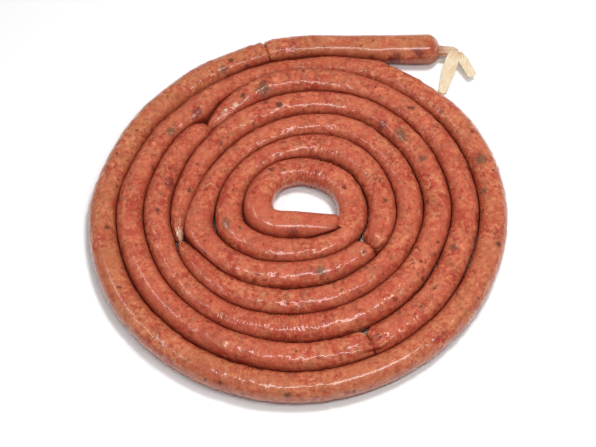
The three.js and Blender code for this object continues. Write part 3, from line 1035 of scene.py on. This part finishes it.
def twisted_casing(finish):
    """Casing gathered into folds, with a little meat showing through and painted shade in the
    hollows of its folds.
    """
    material, graph, shader = new_material("Twisted casing")
    place = attribute(graph, "casing", "Vector")
    fold = attribute(graph, "fold")
    mottle = graph.noise(place, 2.2, 3.0)
    casing = tone(finish, "casing")
    colour = graph.mix(graph.between(mottle, 0.4, 0.7), casing, tone(finish, "meat"))
    # Painted shade: darker towards the deep colour in the hollows of the folds, and in dry twists
    # towards the moist casing colour.
    colour = graph.mix(graph.math("MULTIPLY", fold, 0.5), colour, tone(finish, "deep"))
    dried = graph.mix(graph.math("MULTIPLY", fold, 0.3), tone(finish, "dry_casing"), casing)
    colour = graph.mix(attribute(graph, "dry"), colour, dried)
    join(graph, shader, "Base Color", colour)
    shader.inputs["Roughness"].default_value = 0.4
    shader.inputs["Coat Weight"].default_value = 0.5
    shader.inputs["Coat Roughness"].default_value = 0.15
    bump = graph.add("ShaderNodeBump", {"Height": mottle, "Strength": 0.4, "Distance": 0.2 * MM})
    join(graph, shader, "Normal", bump.outputs[0])
    return material


HONEY_SHADE = (0.94, 0.86, 0.72)             # of the dry casing's own colour, in its patches
PALE_FIBRE = (0.85, 0.78, 0.62, 1.0)


def dry_casing(finish):
    """Empty casing dried to a stiff, matt, cream strip."""
    material, graph, shader = new_material("Dry casing")
    place = attribute(graph, "casing", "Vector")
    stretched = graph.add(
        "ShaderNodeVectorMath", {0: place, 1: (0.25, 1.6, 1.0)}, operation="MULTIPLY")
    fibres = graph.noise(stretched.outputs[0], 1.4, 4.0, 0.6)
    patches = graph.noise(place, 6.0, 2.0)
    cream = tone(finish, "dry_casing")
    honey = (*(part * shade for part, shade in zip(cream, HONEY_SHADE)), 1.0)
    colour = graph.mix(graph.between(patches, 0.42, 0.62), cream, honey)
    colour = graph.mix(graph.between(fibres, 0.45, 0.72), colour, PALE_FIBRE)
    still_moist = graph.math("MULTIPLY", attribute(graph, "moist"), 0.55)
    colour = graph.mix(still_moist, colour, tone(finish, "casing"))
    join(graph, shader, "Base Color", colour)
    shader.inputs["Roughness"].default_value = 0.55
    bump = graph.add("ShaderNodeBump", {"Height": fibres, "Strength": 0.6, "Distance": 0.3 * MM})
    join(graph, shader, "Normal", bump.outputs[0])
    return material


def white_surface():
    """The plain white surface that the sausage lies on."""
    material, _, shader = new_material("White surface")
    shader.inputs["Base Color"].default_value = (0.97, 0.97, 0.97, 1.0)
    shader.inputs["Roughness"].default_value = 0.6
    return material


# ------------------------------------------------------------------ operators


def settings():
    """The three groups of settings."""
    scene = bpy.context.scene
    return scene.sausage_shape, scene.sausage_finish, scene.sausage_stage


class SAUSAGE_OT_links(bpy.types.Operator):
    """Fill the six links and lay them in their coil"""

    bl_idname = "sausage.links"
    bl_label = "Fill the Links"

    def execute(self, context):
        shape, finish, _ = settings()
        route = Route(shape)
        skin = sausage_skin(finish, mince_group(), specks_group())
        for link in route.links:
            make_link(link, route, shape, skin)
        return {"FINISHED"}


class SAUSAGE_OT_twists(bpy.types.Operator):
    """Twist the casing shut between the links and gather its neck"""

    bl_idname = "sausage.twists"
    bl_label = "Twist the Casing"

    def execute(self, context):
        shape, finish, _ = settings()
        route = Route(shape)
        material = twisted_casing(finish)
        for number in range(1, len(PINCHES) - 1):
            make_twist(number, route, material)
        make_neck(material)
        return {"FINISHED"}


class SAUSAGE_OT_tails(bpy.types.Operator):
    """Hang the two flat tails of casing from the neck's fold"""

    bl_idname = "sausage.tails"
    bl_label = "Hang the Tails"

    def execute(self, context):
        _, finish, _ = settings()
        material = dry_casing(finish)
        make_tail("casing_tail_front", FRONT_TAIL_POINTS, FRONT_TAIL_WIDTHS, 1.0, material)
        make_tail("casing_tail_back", BACK_TAIL_POINTS, BACK_TAIL_WIDTHS, 6.0, material)
        return {"FINISHED"}


FLOOR_REACH = 4.0                # how far the white surface goes each way, in metres

# The lights: the direction from the coil, the distance and the size in metres, the power in
# watts, and whether the wet skin mirrors it.
LIGHTS = {
    "overhead_strip": ((0.14, -0.34, 0.93), 0.95, (0.7, 0.11), 3.6, True),
    "left_strip": ((-0.59, -0.05, 0.8), 1.0, (0.6, 0.07), 1.1, True),
    "overhead_lamp": ((0.2, 0.18, 0.96), 1.3, (0.26, 0.26), 10.1, False),
}


def aim(thing, place, target):
    """Puts a light or camera at a place, looking at the target."""
    thing.location = place
    thing.rotation_euler = (Vector(target) - Vector(place)).to_track_quat("-Z", "Y").to_euler()


def add_light(name, direction, distance, size, power, mirrored):
    """A rectangular soft light that shines on the coil."""
    light = bpy.data.lights.new(name, "AREA")
    light.shape = "RECTANGLE"
    light.size, light.size_y = size
    light.energy = power
    thing = bpy.data.objects.new(name, light)
    bpy.context.collection.objects.link(thing)
    thing.visible_glossy = mirrored
    target = Vector((COIL_CENTRE[0] * MM, COIL_CENTRE[1] * MM, 0.0))
    aim(thing, target + Vector(direction).normalized() * distance, target)


class SAUSAGE_OT_stage(bpy.types.Operator):
    """Set out the white surface, the soft lights and the camera"""

    bl_idname = "sausage.stage"
    bl_label = "Set the Stage"

    def execute(self, context):
        stage = settings()[2]
        bm = bmesh.new()
        bmesh.ops.create_grid(bm, x_segments=1, y_segments=1, size=FLOOR_REACH)
        mesh = bpy.data.meshes.new("surface")
        bm.to_mesh(mesh)
        bm.free()
        mesh.materials.append(white_surface())
        surface = bpy.data.objects.new("surface", mesh)
        context.collection.objects.link(surface)

        for name, light in LIGHTS.items():
            add_light(name, *light)

        world = bpy.data.worlds.new("white_room")
        world.use_nodes = True
        background = world.node_tree.nodes["Background"]
        background.inputs["Color"].default_value = (1.0, 1.0, 1.0, 1.0)
        background.inputs["Strength"].default_value = stage.surroundings
        context.scene.world = world
        context.scene.view_settings.view_transform = "Standard"

        camera = bpy.data.cameras.new("camera")
        camera.lens = stage.lens
        camera.sensor_width = 36.0
        camera.shift_y = stage.shift
        camera.clip_start = 0.01
        holder = bpy.data.objects.new("camera", camera)
        context.collection.objects.link(holder)
        target = Vector((COIL_CENTRE[0] * MM, COIL_CENTRE[1] * MM, 0.0))
        rise = math.radians(stage.elevation)
        away = Vector((0.0, -math.cos(rise), math.sin(rise))) * stage.distance * MM
        aim(holder, target + away, target)
        context.scene.camera = holder
        return {"FINISHED"}


class SAUSAGE_PT_maker(bpy.types.Panel):
    """The maker's panel in the 3D view's sidebar"""

    bl_label = "Sausage"
    bl_space_type = "VIEW_3D"
    bl_region_type = "UI"
    bl_category = "Sausage"

    def draw(self, context):
        layout = self.layout
        for group in settings():
            for name in group.__annotations__:
                layout.prop(group, name)
        for operator in OPERATORS:
            layout.operator(operator.bl_idname)


OPERATORS = (SAUSAGE_OT_stage, SAUSAGE_OT_links, SAUSAGE_OT_twists, SAUSAGE_OT_tails)
CLASSES = (SausageShape, SausageFinish, SausageStage, *OPERATORS, SAUSAGE_PT_maker)


def register():
    """Registers the classes and hangs the settings on the scene."""
    for item in CLASSES:
        bpy.utils.register_class(item)
    bpy.types.Scene.sausage_shape = PointerProperty(type=SausageShape)
    bpy.types.Scene.sausage_finish = PointerProperty(type=SausageFinish)
    bpy.types.Scene.sausage_stage = PointerProperty(type=SausageStage)


def unregister():
    """Takes the settings and the classes away again."""
    del bpy.types.Scene.sausage_stage
    del bpy.types.Scene.sausage_finish
    del bpy.types.Scene.sausage_shape
    for item in reversed(CLASSES):
        bpy.utils.unregister_class(item)


def main():
    """Makes the stage and every piece."""
    register()
    bpy.ops.sausage.stage()
    bpy.ops.sausage.links()
    bpy.ops.sausage.twists()
    bpy.ops.sausage.tails()


if __name__ == "__main__":
    main()
